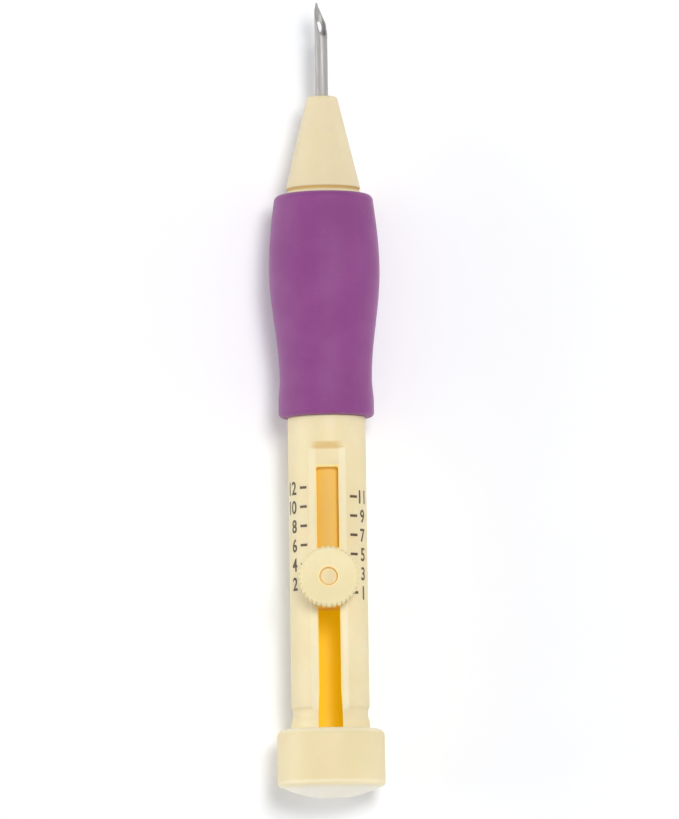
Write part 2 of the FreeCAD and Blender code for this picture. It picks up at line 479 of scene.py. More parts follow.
def moulding_group() -> bpy.types.NodeTree:
    """Builds the group for the drift, the grain and the dust of a surface.

    Returns:
        The group.
    """
    wires, given, end = new_group(
        "moulded_surface",
        {"Vector": None, "Drift Scale": 90.0, "Grain Scale": 2200.0},
        ("Drift", "Grain", "Dust"),
    )
    noises = {
        "Drift": {"Scale": given["Drift Scale"], "Detail": 3.0, "Roughness": 0.5},
        "Grain": {"Scale": given["Grain Scale"], "Detail": 2.0, "Roughness": 0.6},
        "Dust": {"Scale": 1400.0, "Detail": 1.0},
    }
    limits = {"Drift": (0.3, 0.7), "Dust": (0.68, 0.78)}
    for name, values in noises.items():
        noise = wires.add("TexNoise", {"Vector": given["Vector"], **values}).outputs[0]
        if name in limits:
            noise = wires.spread(noise, *limits[name], 0.0, 1.0)
        wires.feed(end.inputs[name], noise)
    return wires.tree


def depth_group() -> bpy.types.NodeTree:
    """Builds the group whose Depth is 1 within Near of an axis and 0 past Far; it places the
    painted glow.

    Returns:
        The group.
    """
    inputs = {"Vector": None, "Near": 0.005, "Far": 0.007}
    wires, given, end = new_group("painted_glow_near_axis", inputs, ("Depth",))
    length = wires.add("VectorMath", {0: given["Vector"]}, operation="LENGTH")
    depth = wires.spread(length.outputs["Value"], given["Near"], given["Far"], 1.0, 0.0)
    wires.feed(end.inputs["Depth"], depth)
    return wires.tree


def zone_group() -> bpy.types.NodeTree:
    """Builds the group whose Zone marks a stretch of a value with soft ends.

    Returns:
        The group.
    """
    inputs = {"Value": 0.0, "From": 0.0, "To": 1.0, "Blur": 0.0002}
    wires, given, end = new_group("soft_zone", inputs, ("Zone",))
    sides = []
    for name, operation in (("From", "SUBTRACT"), ("To", "ADD")):
        outer = wires.math(operation, given[name], given["Blur"])
        sides.append(wires.spread(given["Value"], outer, given[name], 0.0, 1.0))
    wires.feed(end.inputs["Zone"], wires.math("MULTIPLY", *sides))
    return wires.tree


@dataclass(frozen=True)
class Effects:
    """The shared node groups."""

    moulding: bpy.types.NodeTree
    depth: bpy.types.NodeTree
    zone: bpy.types.NodeTree


@dataclass(frozen=True)
class Tint:
    """A box of the object, in millimetres, painted another tone, mostly for painted highlights,
    shade and glow.
    """

    colour: Triple
    across: Point
    along: Point
    above: Point
    blur: Triple = (0.25, 0.25, 0.25)
    strength: float = 1.0

    def mask(
        self, wires: Wiring, effects: Effects, place: bpy.types.NodeSocket
    ) -> bpy.types.NodeSocket:
        """Adds the nodes that mark the box.

        Args:
            wires: the material's wiring.
            effects: the shared node groups.
            place: the output with the object coordinates.

        Returns:
            The output that is the tint's strength in the box and 0 outside.
        """
        parts = wires.add("SeparateXYZ", {0: place}).outputs
        spans = (
            (wires.math("ABSOLUTE", parts["X"]), self.across, 0.0, self.blur[0]),
            (parts["Y"], self.along, -PEN_HALF, self.blur[1]),
            (parts["Z"], self.above, AXIS_HEIGHT, self.blur[2]),
        )
        result = self.strength
        for value, (low, high), shift, blur in spans:
            limits = {"From": (low + shift) * MM, "To": (high + shift) * MM, "Blur": blur * MM}
            zone = wires.add("Group", {"Value": value, **limits}, node_tree=effects.zone)
            result = wires.math("MULTIPLY", zone.outputs["Zone"], result)
        return result


class Paint:
    """A new material with its shader, its place and the shared surface effects."""

    def __init__(
        self,
        finish: Finish,
        effects: Effects,
        drift: float,
        grain: float,
        lines: Triple = (1.0, 1.0, 1.0),
    ) -> None:
        """Starts the material.

        Args:
            finish: the finish that it is for.
            effects: the shared node groups.
            drift: scale of the colour's drift.
            grain: scale of the grain.
            lines: how much each direction of the grain is kept.
        """
        self.material = bpy.data.materials.new(finish.name)
        self.material.use_nodes = True
        self.wires = Wiring(self.material.node_tree)
        self.shader = self.material.node_tree.nodes["Principled BSDF"]
        self.place = self.wires.add("TexCoord").outputs["Object"]
        drawn = self.wires.add("Mapping", {"Vector": self.place, "Scale": lines}).outputs[0]
        values = {"Vector": drawn, "Drift Scale": drift, "Grain Scale": grain}
        self.surface = self.wires.add("Group", values, node_tree=effects.moulding).outputs
        self.skin = self.wires.mix(finish.colour, finish.drift, share=self.surface["Drift"])

    def dusted(self, skin: object, dust: Triple, share: float) -> bpy.types.NodeSocket:
        """Scatters specks of dust on a colour and returns the output."""
        specks = self.wires.math("MULTIPLY", self.surface["Dust"], share)
        return self.wires.mix(skin, dust, share=specks)

    def close(self, inputs: dict[str, object], bump: Point | None = None) -> bpy.types.Material:
        """Feeds the shader.

        Args:
            inputs: outputs or values for the shader's inputs.
            bump: strength and distance of the grain's bump.

        Returns:
            The material.
        """
        if bump:
            grain = {"Strength": bump[0], "Distance": bump[1], "Height": self.surface["Grain"]}
            inputs["Normal"] = self.wires.add("Bump", grain).outputs[0]
        for name, value in inputs.items():
            self.wires.feed(self.shader.inputs[name], value)
        return self.material


@dataclass(frozen=True)
class Finish:
    """What every finish has: a name and two tones that drift into each other."""

    name: str
    colour: Triple
    drift: Triple


@dataclass(frozen=True)
class MouldedPlastic(Finish):
    """Ivory plastic with a painted golden glow, in colour and emission, near its axis, standing for
    light through the plastic.
    """

    core: Triple
    core_near: float = 5.2
    core_far: float = 6.6
    axis: Axis = Axis.PEN
    glow: Triple = (0.0, 0.0, 0.0)
    translucency: float = 0.3
    roughness: float = 0.54
    tints: tuple[Tint, ...] = ()

    def build(self, effects: Effects) -> bpy.types.Material:
        """Builds the finish's material.

        Args:
            effects: the shared node groups.

        Returns:
            The material.
        """
        paint = Paint(self, effects, drift=90.0, grain=2200.0)
        wires, drift = paint.wires, paint.surface["Drift"]
        middle, flatten = (0.0, 0.0, -AXIS_HEIGHT * MM), (1.0, 0.0, 1.0)
        if self.axis is Axis.KNOB:
            middle, flatten = (0.0, (PEN_HALF - STUD_AT) * MM, 0.0), (1.0, 1.0, 0.0)
        centred = {"Vector": paint.place, "Location": middle, "Scale": flatten}
        limits = {"Near": self.core_near * MM, "Far": self.core_far * MM}
        wall = {"Vector": wires.add("Mapping", centred).outputs[0], **limits}
        depth = wires.add("Group", wall, node_tree=effects.depth).outputs["Depth"]
        skin = paint.skin
        for tint in self.tints:
            skin = wires.mix(skin, tint.colour, share=tint.mask(wires, effects, paint.place))
        # Painted glow: the golden tone near the axis stands for light shining through the plastic.
        body = wires.mix(skin, self.core, share=depth)
        low, high = self.roughness - 0.05, self.roughness + 0.05
        return paint.close(
            {
                "Base Color": paint.dusted(body, tone(196, 182, 150), 0.1),
                "Roughness": wires.spread(drift, 0.0, 1.0, low, high),
                # Painted glow: emission near the axis, though the plastic is no lamp.
                "Emission Color": wires.mix((0.0, 0.0, 0.0), self.glow, share=depth),
                "Emission Strength": 1.0,
                "Subsurface Weight": self.translucency,
                "Subsurface Radius": (1.0, 0.62, 0.22),
                "Subsurface Scale": 0.002,
                "IOR": 1.49,
            },
            bump=(0.05, 0.00004),
        )


@dataclass(frozen=True)
class SoftSleeve(Finish):
    """Matt elastic rubber with a soft sheen and fine pores."""

    roughness: float = 0.66

    def build(self, effects: Effects) -> bpy.types.Material:
        """Builds the finish's material.

        Args:
            effects: the shared node groups.

        Returns:
            The material.
        """
        paint = Paint(self, effects, drift=130.0, grain=5200.0)
        low, high = self.roughness - 0.04, self.roughness + 0.06
        return paint.close(
            {
                "Base Color": paint.dusted(paint.skin, tone(196, 160, 194), 0.05),
                "Roughness": paint.wires.spread(paint.surface["Drift"], 0.0, 1.0, low, high),
                "Sheen Weight": 0.25,
                "Sheen Roughness": 0.45,
                "Sheen Tint": (0.92, 0.78, 0.92, 1.0),
            },
            bump=(0.22, 0.00005),
        )


@dataclass(frozen=True)
class DrawnSteel(Finish):
    """Steel with fine drawing lines along one direction."""

    lines: Triple = (1.0, 0.02, 1.0)
    roughness: float = 0.3

    def build(self, effects: Effects) -> bpy.types.Material:
        """Builds the finish's material.

        Args:
            effects: the shared node groups.

        Returns:
            The material.
        """
        paint = Paint(self, effects, drift=900.0, grain=9000.0, lines=self.lines)
        grain = paint.surface["Grain"]
        low, high = self.roughness - 0.06, self.roughness + 0.1
        rough = paint.wires.spread(grain, 0.3, 0.7, low, high)
        inputs = {"Base Color": paint.skin, "Roughness": rough, "Metallic": 1.0}
        return paint.close(inputs, bump=(0.12, 0.00002))


@dataclass(frozen=True)
class PadInk(Finish):
    """Brown pad-printed ink, a little uneven in its cover."""

    def build(self, effects: Effects) -> bpy.types.Material:
        """Builds the finish's material.

        Args:
            effects: the shared node groups.

        Returns:
            The material.
        """
        paint = Paint(self, effects, drift=1500.0, grain=6000.0)
        rough = paint.wires.spread(paint.surface["Grain"], 0.3, 0.7, 0.42, 0.6)
        return paint.close({"Base Color": paint.skin, "Roughness": rough})


# ---------------------------------------------------------------------------
# The pen's sub-assemblies
# ---------------------------------------------------------------------------


@dataclass
class EndCap:
    """Domed cup with a socket for the barrel and a hole for the yarn."""

    radius: float = 10.1
    height: float = 13.0
    socket: float = 7.38
    socket_round: float = 0.25
    floor: float = 3.6
    dome: float = 2.2
    dome_rings: int = 12
    base_round: float = 0.8
    rim_round: float = 1.5
    hole: float = 2.0
    hole_round: float = 0.4

    def outline(self) -> Outline:
        """Draws the cup's section.

        Returns:
            Closed outline as radius and place.
        """
        edge = self.radius - self.base_round
        ball = (edge**2 + self.dome**2) / (2 * self.dome)
        first = self.hole + self.hole_round
        reach = [first + (edge - first) * ring / self.dome_rings for ring in range(self.dome_rings)]
        points = [(r, ball - math.sqrt(ball**2 - r**2)) for r in reach]
        mouth = (first, points[0][1] + self.hole_round)
        base = (edge, self.dome + self.base_round)
        points += arc(base, self.base_round, self.base_round, -90, 0)
        points += stretch(points[-1], (self.radius, self.height - self.rim_round), 3)[:-1]
        rim = (self.radius - self.rim_round, self.height - self.rim_round)
        points += arc(rim, self.rim_round, self.rim_round, 0, 90, 8)
        lead = (self.socket + self.socket_round, self.height - self.socket_round)
        points += arc(lead, self.socket_round, self.socket_round, 90, 180, 3)
        points += [(self.socket, self.floor), (self.hole, self.floor)]
        points += arc(mouth, self.hole_round, self.hole_round, 180, 262, 4)
        return points

    def build(self, plastic: bpy.types.Material) -> None:
        """Models the cup and dresses it.

        Args:
            plastic: the cap's finish.
        """
        cup = turned("cap_cup", self.outline())
        smooth(cup)
        dress(cup, plastic, "cap", "cream_plastic", "end_cap")


@dataclass
class Barrel:
    """Slotted tube with the clamp's flat and the printed depth scale."""

    radius: float = 7.32
    bore: float = 5.12
    start: float = 3.6
    grip_start: float = 71.7
    grip_end: float = 113.8
    seat: float = 6.92
    lead: float = 0.3
    edge: float = 0.2
    step: float = 0.15
    neck_radius: float = 7.02
    neck_fall: float = 14.2
    neck_at: float = 15.4
    neck_end: float = 16.4
    neck_rise: float = 17.2
    slot_half: float = 2.05
    slot_mouth: float = 2.3
    slot_end: float = 61.9
    slot_corner: float = 0.25
    flare_start: float = 19.9
    flat: float = 6.52
    flat_end: float = 65.5
    flat_ramp: float = 1.05
    first_mark: float = 38.3
    marks: int = 12
    pitch: float = 1.8
    tick_width: float = 0.48
    # degrees round from the top to both ends of the marks, and to the digits
    left_tick: Point = (32.4, 44.8)
    right_tick: Point = (34.8, 48.6)
    left_digits: float = 53.0
    right_digits: float = 62.0
    digit_height: float = 2.5
    digit_weight: float = 0.018
    digit_slice: float = 0.25
    ink: float = 0.02

    def outline(self) -> Outline:
        """Draws the tube's section.

        Returns:
            Closed outline as radius and place.
        """
        points = [(self.bore + self.lead, self.start), (self.radius - self.edge, self.start)]
        points += [(self.radius, self.start + self.edge), (self.radius, 9.0)]
        points += [(self.radius, self.neck_fall)]
        points += stretch(points[-1], (self.neck_radius, self.neck_at), 5, Rise.EASED)
        points += [(self.neck_radius, self.neck_end)]
        points += stretch(points[-1], (self.radius, self.neck_rise), 4, Rise.EASED)
        points += stretch(points[-1], (self.radius, self.grip_start - self.step), 14)
        points += [(self.radius - self.step, self.grip_start), (self.seat, self.grip_start)]
        points += stretch(points[-1], (self.seat, self.grip_end), 6)
        points += [(self.bore, self.grip_end)]
        points += stretch(points[-1], (self.bore, self.start + self.lead), 24)
        return points

    def tube(self) -> bpy.types.Object:
        """Models the tube, with its slot and flat cut and its edges softened.

        Returns:
            The tube.
        """
        tube = turned("barrel_tube", self.outline())
        high, wide = 2 * self.radius, 9.0
        flat = [
            (self.neck_at + 0.2, wide, self.radius, high),
            (self.neck_at + 0.9, wide, self.flat, high),
            (self.flat_end, wide, self.flat, high),
            (self.flat_end + self.flat_ramp, wide, self.radius + 0.02, high),
        ]
        slot = [
            (0.0, self.slot_mouth, 0.0, high),
            (self.neck_at, self.slot_mouth, 0.0, high),
            (self.flare_start, self.slot_half, 0.0, high),
            (self.slot_end - self.slot_corner, self.slot_half, 0.0, high),
            (self.slot_end, self.slot_half - 0.2, 0.0, high),
        ]
        carve(tube, run_through("flat_cutter", flat))
        carve(tube, run_through("slot_cutter", slot))
        soften(tube, 0.12, 32)
        smooth(tube, 38)
        return tube

    def wrap(self, print_part: bpy.types.Object) -> None:
        """Lays a flat print mesh round the barrel.

        Args:
            print_part: the mesh, with X as the way round from the top.
        """
        radius = self.radius * MM
        for corner in print_part.data.vertices:
            turn = corner.co.x / radius
            reach = radius + corner.co.z
            corner.co.x = reach * math.sin(turn)
            corner.co.z = AXIS_HEIGHT * MM + reach * math.cos(turn)

    def way_round(self, degrees: float) -> float:
        """Returns the way round the barrel, in metres, to an angle from the top."""
        return self.radius * math.radians(degrees) * MM

    def mark_place(self, number: int) -> float:
        """Returns a mark's place along the pen, in metres."""
        return (self.first_mark + (number - 1) * self.pitch - PEN_HALF) * MM

    def tick(self, number: int, column: Column) -> bpy.types.Object:
        """Returns one mark of the scale, wrapped round the barrel.

        Args:
            number: the mark's number.
            column: the side that it is on.

        Returns:
            The mark.
        """
        near, far = self.left_tick if column is Column.LEFT else self.right_tick
        middle = column.value * self.way_round((far + near) / 2)
        size = (self.way_round(far - near), self.tick_width * MM, 1.0)
        clear_selection()
        bpy.ops.mesh.primitive_grid_add(x_subdivisions=8, y_subdivisions=1, size=1.0)
        mark = placed("tick", (middle, self.mark_place(number), 0.0), size)
        self.wrap(mark)
        return mark

    def digits(self, number: int, column: Column) -> bpy.types.Object:
        """Returns one number of the scale, wrapped round the barrel.

        Args:
            number: the number printed.
            column: the side that it is on.

        Returns:
            The number.
        """
        clear_selection()
        bpy.ops.object.text_add()
        text = bpy.context.object.data
        text.body, text.size, text.offset = str(number), 1.0, self.digit_weight
        text.resolution_u = 6
        bpy.ops.object.convert(target="MESH")
        corners = bpy.context.object.data.vertices
        xs = [corner.co.x for corner in corners]
        ys = [corner.co.y for corner in corners]
        size = self.digit_height * MM / (max(ys) - min(ys))
        width = (max(xs) - min(xs)) * size
        if column is Column.LEFT:
            left = -self.way_round(self.left_digits) - width
        else:
            left = self.way_round(self.right_digits) - width / 2
        middle = self.mark_place(number) - (max(ys) + min(ys)) / 2 * size
        figure = placed("digits", (left - min(xs) * size, middle, 0.0), (size, size, size))
        edit()
        cut = left
        while cut < left + width:
            cut += self.digit_slice * MM
            bpy.ops.mesh.select_all(action="SELECT")
            bpy.ops.mesh.bisect(plane_co=(cut, 0.0, 0.0), plane_no=(1.0, 0.0, 0.0))
        bpy.ops.object.mode_set(mode="OBJECT")
        self.wrap(figure)
        return figure

    def scale_print(self) -> bpy.types.Object:
        """Models the whole printed scale as one thin piece.

        Returns:
            The print.
        """
        prints = []
        for number in range(1, self.marks + 1):
            column = Column.RIGHT if number % 2 else Column.LEFT
            prints += [self.tick(number, column), self.digits(number, column)]
        take(prints[0])
        for part in prints:
            part.select_set(True)
        bpy.ops.object.join()
        scale = placed("depth_scale")
        modify(scale, "SOLIDIFY", thickness=self.ink * MM, offset=0.6)
        return scale

    def build(self, plastic: bpy.types.Material, ink: bpy.types.Material) -> None:
        """Models the tube and its print and dresses them.

        Args:
            plastic: the tube's finish.
            ink: the print's finish.
        """
        dress(self.tube(), plastic, "handle", "cream_plastic", "barrel")
        dress(self.scale_print(), ink, "handle", "cream_plastic")


@dataclass
class NoseCone:
    """Hollow cone with a plug for the barrel's bore and a floor for the spring."""

    start: float = 113.8
    length: float = 18.7
    collar: float = 0.9
    base: float = 7.0
    tip: float = 2.85
    tip_round: float = 0.7
    bore: float = 5.12
    plug_length: float = 6.0
    plug_wall: float = 1.0
    plug_lead: float = 0.25
    foot_round: float = 0.15
    lip_round: float = 0.12
    lip_back: float = 0.42
    crease_at: Point = (0.06, 0.12)
    crease_size: Point = (0.24, 0.16)
    shoulder_round: float = 0.4
    shoulder_on: float = 0.44
    seat_depth: float = 9.4
    guide: float = 1.31
    guide_lead: float = 0.2

    def outline(self) -> Outline:
        """Draws the cone's section, with the crease between collar and cone.

        Returns:
            Closed outline as radius and place.
        """
        end = self.start + self.length
        cone = self.start + self.collar
        lean = math.degrees(math.atan((self.base - self.tip) / (end - cone)))
        inset = self.tip_round * math.tan(math.radians((90 - lean) / 2))
        inner = self.bore - self.plug_wall
        seat = end - self.seat_depth
        plug = self.start - self.plug_length
        points = [(self.bore - self.plug_lead, plug), (self.bore, plug + self.plug_lead)]
        points += [(self.bore, self.start)]
        foot, lip, bend = self.foot_round, self.lip_round, self.shoulder_round
        points += arc((self.base - foot, self.start + foot), foot, foot, -90, 0, 3)
        points += arc((self.base - lip, cone - self.lip_back), lip, lip, 0, 90, 2)
        crease = (self.base - self.crease_at[0], cone - self.crease_at[1])
        points += arc(crease, *self.crease_size, 220, 130, 4)
        points += arc((self.base - bend, cone + self.shoulder_on), bend, bend, -60, lean, 5)
        head = (self.tip - inset, end - self.tip_round)
        points += arc(head, self.tip_round, self.tip_round, lean, 90, 7)
        points += [(self.guide + self.guide_lead, end), (self.guide, end - self.guide_lead)]
        return points + [(self.guide, seat), (inner, seat), (inner, plug)]

    def build(self, plastic: bpy.types.Material) -> None:
        """Models the cone and dresses it.

        Args:
            plastic: the cone's finish.
        """
        cone = turned("nose_shell", self.outline())
        smooth(cone)
        dress(cone, plastic, "handle", "cream_plastic", "nose_cone")


@dataclass
class GripSleeve:
    """Soft sleeve with a finger bulge, a waist and a rolled lip."""

    start: float = 71.7
    length: float = 42.1
    seat: float = 6.92
    face: float = 7.32
    mouth: float = 9.38
    mouth_round: float = 1.3
    bulge: float = 10.43
    bulge_at: float = 28.0
    waist: float = 8.69
    waist_at: float = 7.2
    lip: float = 8.98
    lip_at: float = 2.5
    lip_round: float = 0.8

    def outline(self) -> Outline:
        """Draws the sleeve's section.

        Returns:
            Closed outline as radius and place.
        """
        end = self.start + self.length
        mouth = (self.mouth, end - self.mouth_round)
        bulge = (self.bulge, self.start + self.bulge_at)
        waist = (self.waist, self.start + self.waist_at)
        lip = (self.lip, self.start + self.lip_at)
        corner = (self.mouth - self.mouth_round, mouth[1])
        points = arc(corner, self.mouth_round, self.mouth_round, 90, 0, 10)
        points += stretch(mouth, bulge, 14, Rise.SWELLING)
        points += stretch(bulge, waist, 18, Rise.EASED)
        points += stretch(waist, lip, 6, Rise.EASED)
        rolled = (self.lip - self.lip_round, self.start + self.lip_round)
        points += arc(rolled, self.lip_round, self.lip_round, 0, -90, 6)
        points += [(self.seat, self.start)]
        points += stretch((self.seat, self.start), (self.seat, end), 4)
        return points + [(self.face, end)]

    def build(self, rubber: bpy.types.Material) -> None:
        """Models the sleeve and dresses it.

        Args:
            rubber: the sleeve's finish.
        """
        sleeve = turned("sleeve_skin", self.outline())
        smooth(sleeve, 45)
        dress(sleeve, rubber, "handle", "purple_rubber", "grip_sleeve")


@dataclass
class NeedleUnit:
    """The needle, its sliding holder with the stud, and the return spring."""

    needle: float = 1.19
    needle_bore: float = 0.93
    needle_start: float = 92.0
    needle_columns: int = 64
    tip: float = 150.6
    # how far behind the tip, and the cut's low edge as a share of the needle's radius
    grind: tuple[Point, ...] = (
        (7.1, 1.0),
        (6.7, 0.86),
        (6.1, 0.6),
        (5.5, 0.35),
        (4.9, 0.18),
        (4.3, 0.1),
        (3.9, -0.03),
        (3.4, -0.25),
        (2.6, -0.54),
        (1.7, -0.78),
        (0.8, -0.94),
        (0.0, -0.99),
        (-1.0, -1.2),
    )
    bevel_turn: float = 41.0
    eye_from_tip: float = 4.55
    eye_length: float = 2.1
    eye_width: float = 0.96
    eye_turn: float = 19.0
    eye_lean: float = 8.0
    holder: float = 5.0
    holder_round: float = 0.8
    holder_start: float = 35.6
    holder_columns: int = 96
    shoulder: float = 78.0
    # radius and end of each step of the holder's nose
    steps: tuple[Point, ...] = ((3.1, 90.2), (2.6, 94.0), (1.95, 101.0))
    step_edge: float = 0.2
    holder_bore: float = 2.45
    bore_lead: float = 0.3
    funnel: float = 4.0
    stud: float = 1.9
    stud_root: float = 3.4
    stud_core: float = 0.4
    stud_edge: float = 0.15
    # radius and depth below the top, round the stud's end
    stud_tip: tuple[Point, ...] = ((1.3, 0.0), (1.0, 0.08), (0.4, 0.12))
    stud_columns: int = 48
    thread: float = 1.65
    thread_depth: float = 0.2
    thread_rise: Point = (0.3, 0.4)
    thread_pitch: float = 0.7
    stud_shoulder: float = 6.52
    stud_top: float = 11.17
    wire: float = 0.22
    spring_clearance: float = 0.15
    spring_seat: float = 123.1
    closed_turns: float = 1.25
    closed_pitch: float = 2.1
    wide_turns: float = 10.0
    cone_turns: float = 3.0
    cone_pitch: float = 2.3
    points_per_turn: int = 24

    def needle_tube(self) -> bpy.types.Object:
        """Models the needle with its ground point, throat and eye.

        Returns:
            The needle.
        """
        outline = [(self.needle_bore, self.needle_start), (self.needle, self.needle_start)]
        outline += stretch(outline[-1], (self.needle, self.tip), 16)
        outline += [(self.needle_bore, self.tip)]
        outline += stretch(outline[-1], (self.needle_bore, self.needle_start), 16)[:-1]
        tube = turned("needle_tube", outline, columns=self.needle_columns)
        wide, high = 3.0, 4 * self.needle
        cut = [(self.tip - back, wide, share * self.needle, high) for back, share in self.grind]
        carve(tube, run_through("grind_cutter", cut, self.bevel_turn))
        carve(tube, self.eye_cutter())
        soften(tube, 0.03, 32)
        smooth(tube)
        return tube

    def eye_cutter(self) -> bpy.types.Object:
        """Models the bar that pierces the eye through the back wall.

        Returns:
            The cutter.
        """
        radius = self.eye_width / 2 * MM
        clear_selection()
        bpy.ops.mesh.primitive_cylinder_add(vertices=32, radius=radius, depth=3 * self.needle * MM)
        placed(
            "eye_cutter",
            Vector((0.0, self.tip - self.eye_from_tip, -1.5 * self.needle)) * MM,
            (1.0, self.eye_length / self.eye_width, 1.0),
            (0.0, 0.0, math.radians(self.eye_lean)),
        )
        turn = (0.0, math.radians(self.eye_turn), 0.0)
        return placed("eye_cutter", Axis.PEN.spot(0.0), turn=turn)

    def holder_body(self) -> bpy.types.Object:
        """Models the sliding holder with its stepped nose and stud.

        Returns:
            The holder.
        """
        edge, at = self.holder_round, self.shoulder
        outline = arc((self.holder - edge, self.holder_start + edge), edge, edge, -90, 0, 4)
        outline += stretch(outline[-1], (self.holder, at - edge), 14)
        outline += arc((self.holder - edge, at - edge), edge, edge, 0, 90, 4)
        for radius, end in self.steps:
            outline += [(radius, at), (radius, end - self.step_edge)]
            outline += [(radius - self.step_edge, end)]
            at = end
        outline += [(self.needle, at), (self.needle, self.needle_start)]
        outline += [(self.needle_bore, self.needle_start)]
        outline += [(self.holder_bore, self.needle_start - self.funnel)]
        lead = (self.holder_bore, self.holder_start + self.bore_lead)
        outline += stretch(outline[-1], lead, 14)
        outline += [(self.holder_bore + self.bore_lead, self.holder_start)]
        body = turned("holder_body", outline, columns=self.holder_columns)
        carve(body, self.stud_post(), "UNION")
        smooth(body)
        return body

    def stud_post(self) -> bpy.types.Object:
        """Models the threaded stud, closed at its core.

        Returns:
            The stud.
        """
        outline = [(self.stud_core, self.stud_root), (self.stud, self.stud_root)]
        outline += [(self.stud, self.stud_shoulder - self.stud_edge)]
        outline += [(self.stud - self.stud_edge, self.stud_shoulder)]
        at = self.stud_shoulder + self.thread_depth
        while at < self.stud_top - 0.5:
            outline += [(self.thread - self.thread_depth, at)]
            outline += [(self.thread, at + rise) for rise in self.thread_rise]
            at += self.thread_pitch
        outline += [(self.thread - 0.1, self.stud_top - self.stud_edge)]
        outline += [(radius, self.stud_top - down) for radius, down in self.stud_tip]
        post = turned("stud_post", outline, Axis.KNOB, self.stud_columns)
        edit("DESELECT", "FACE")
        bpy.ops.object.mode_set(mode="OBJECT")
        centre = Axis.KNOB.spot(0.0)
        for face in post.data.polygons:
            middle = face.center - centre
            face.select = math.hypot(middle.x, middle.y) < (self.stud_core + 0.01) * MM
        bpy.ops.object.mode_set(mode="EDIT")
        bpy.ops.mesh.delete(type="FACE")
        bpy.ops.mesh.select_mode(type="EDGE")
        bpy.ops.mesh.select_all(action="DESELECT")
        bpy.ops.mesh.select_non_manifold()
        bpy.ops.mesh.fill_holes(sides=0)
        close_up()
        return post

    def coil_line(self) -> list[Triple]:
        """Returns the spring's line: wide round the holder's nose, narrow round the needle.

        Returns:
            Points as turn in radians, place and radius.
        """
        room = self.spring_clearance + self.wire
        wide, narrow = self.steps[0][0] + room, self.needle + room
        start, end = self.shoulder + self.wire, self.spring_seat - self.wire
        closed = self.closed_turns * self.closed_pitch * self.wire
        cone = self.cone_turns * self.cone_pitch
        line = [(0.0, start, wide)]
        for turns, rise, radius in (
            (self.closed_turns, closed, wide),
            (self.wide_turns, end - start - 2 * closed - cone, wide),
            (self.cone_turns, cone, narrow),
            (self.closed_turns, closed, narrow),
        ):
            turn, place, before = line[-1]
            count = round(turns * self.points_per_turn)
            for step in range(1, count + 1):
                share = step / count
                line.append(
                    (
                        turn + 2 * math.pi * turns * share,
                        place + rise * share,
                        before + (radius - before) * share,
                    )
                )
        return line

    def coil(self) -> bpy.types.Object:
        """Models the spring.

        Returns:
            The spring.
        """
        line = self.coil_line()
        wire = bpy.data.curves.new("coil_line", "CURVE")
        wire.dimensions = "3D"
        run = wire.splines.new("POLY")
        run.points.add(len(line) - 1)
        for point, (turn, place, radius) in zip(run.points, line):
            out = Vector((math.sin(turn), 0, math.cos(turn))) * radius * MM
            point.co = (*(Axis.PEN.spot(place) + out), 1.0)
        wire.bevel_depth = self.wire * MM
        wire.bevel_resolution = 3
        wire.use_fill_caps = True
        coil = bpy.data.objects.new("return_coil", wire)
        bpy.context.scene.collection.objects.link(coil)
        take(coil)
        bpy.ops.object.convert(target="MESH")
        smooth(coil, 60)
        return bpy.context.object

    def build(
        self, steel: bpy.types.Material, amber: bpy.types.Material, wire: bpy.types.Material
    ) -> None:
        """Models the needle, the holder and the spring and dresses them.

        Args:
            steel: the needle's finish.
            amber: the holder's finish.
            wire: the spring's finish.
        """
        dress(self.needle_tube(), steel, "needle_carriage", "bright_steel", "needle")
        dress(self.holder_body(), amber, "needle_carriage", "cream_plastic", "needle_holder")
        coil = self.coil()
        ends = Axis.PEN.spot(self.shoulder), Axis.PEN.spot(self.spring_seat)
        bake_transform(coil)
        coat(coil, wire, "bright_steel", "spring")


